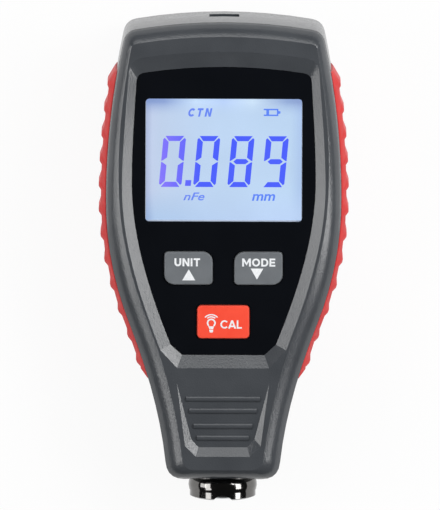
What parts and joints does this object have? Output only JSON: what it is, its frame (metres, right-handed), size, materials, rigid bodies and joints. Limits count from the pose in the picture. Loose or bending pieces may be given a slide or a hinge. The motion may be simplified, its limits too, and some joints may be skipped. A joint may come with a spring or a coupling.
{
  "type": "coating thickness gauge",
  "caption": "Hand-held coating thickness gauge: waisted dark case with red toothed side grips, backlit display, rubber keys and a spring-loaded round probe at its lower end.",
  "frame": {"origin": "on the plane of the back face, under the middle of the whole length and width", "axes": "+Z is the display's normal, +Y runs from the probe to the top end, +X is to the right as the display is read"},
  "size_m": [0.072, 0.14, 0.0311],
  "materials": {
    "case_plastic": "fine moulded grain, dark grey",
    "grip_rubber": "satin red rubber",
    "panel_black": "gloss black",
    "window_clear": "clear",
    "frame_white": "white moulding",
    "display_glass": "backlit pale blue",
    "backlight_white": "light guide",
    "zebra_rubber": "layered conductive rubber",
    "board_green": "solder mask",
    "screw_steel": "zinc plated",
    "chip_black": "moulded epoxy",
    "contact_gold": "gold flash",
    "key_grey": "grey silicone",
    "key_red": "orange-red silicone",
    "carbon_pill": "carbon-loaded rubber",
    "probe_chrome": "polished chrome plating",
    "probe_steel": "turned steel",
    "coil_potting": "potted coil",
    "hard_tip": "polished hard tip",
    "spring_steel": "spring wire",
    "cell_sleeve": "plain printed sleeve",
    "contact_nickel": "nickel plated"
  },
  "bodies": {
    "case": {"front_shell": "case_plastic", "rear_shell": "case_plastic", "left_grip": "grip_rubber", "right_grip": "grip_rubber", "face_panel": "panel_black", "display_window": "window_clear", "lcd_frame": "frame_white", "lcd_glass": "display_glass", "backlight_plate": "backlight_white", "zebra_strip": "zebra_rubber", "circuit_board": "board_green", "board_screws": "screw_steel", "main_chip": "chip_black", "key_contacts": "contact_gold", "probe_sleeve": "probe_chrome", "probe_cap": "probe_steel", "probe_spring": "spring_steel", "battery_cell_left": "cell_sleeve", "battery_cell_right": "cell_sleeve", "battery_plus_contacts": "contact_nickel", "battery_minus_contacts": "contact_nickel", "case_screws": "screw_steel"},
    "unit_button": {"unit_key": "key_grey", "unit_pill": "carbon_pill"},
    "mode_button": {"mode_key": "key_grey", "mode_pill": "carbon_pill"},
    "cal_button": {"cal_key": "key_red", "cal_pill": "carbon_pill"},
    "probe": {"probe_core": "probe_steel", "probe_coil": "coil_potting", "probe_tip": "hard_tip"},
    "door": {"battery_door": "case_plastic"}
  },
  "joints": [
    {"name": "unit_press", "type": "slide", "parent": "case", "child": "unit_button", "axis": [0, 0, -1], "range_m": [0, 0.0007], "stiffness_N_per_m": 1000, "springref_m": -0.0003},
    {"name": "mode_press", "type": "slide", "parent": "case", "child": "mode_button", "axis": [0, 0, -1], "range_m": [0, 0.0007], "stiffness_N_per_m": 1000, "springref_m": -0.0003},
    {"name": "cal_press", "type": "slide", "parent": "case", "child": "cal_button", "axis": [0, 0, -1], "range_m": [0, 0.0007], "stiffness_N_per_m": 1000, "springref_m": -0.0003},
    {"name": "probe_plunge", "type": "slide", "parent": "case", "child": "probe", "axis": [0, 1, 0], "range_m": [0, 0.0012], "stiffness_N_per_m": 800, "springref_m": -0.0005, "deforming": ["probe_spring"]},
    {"name": "door_hinge", "type": "hinge", "parent": "case", "child": "door", "pos_m": [0, -0.0054, 0.0012], "axis": [-1, 0, 0], "range_deg": [0, 85]}
  ]
}
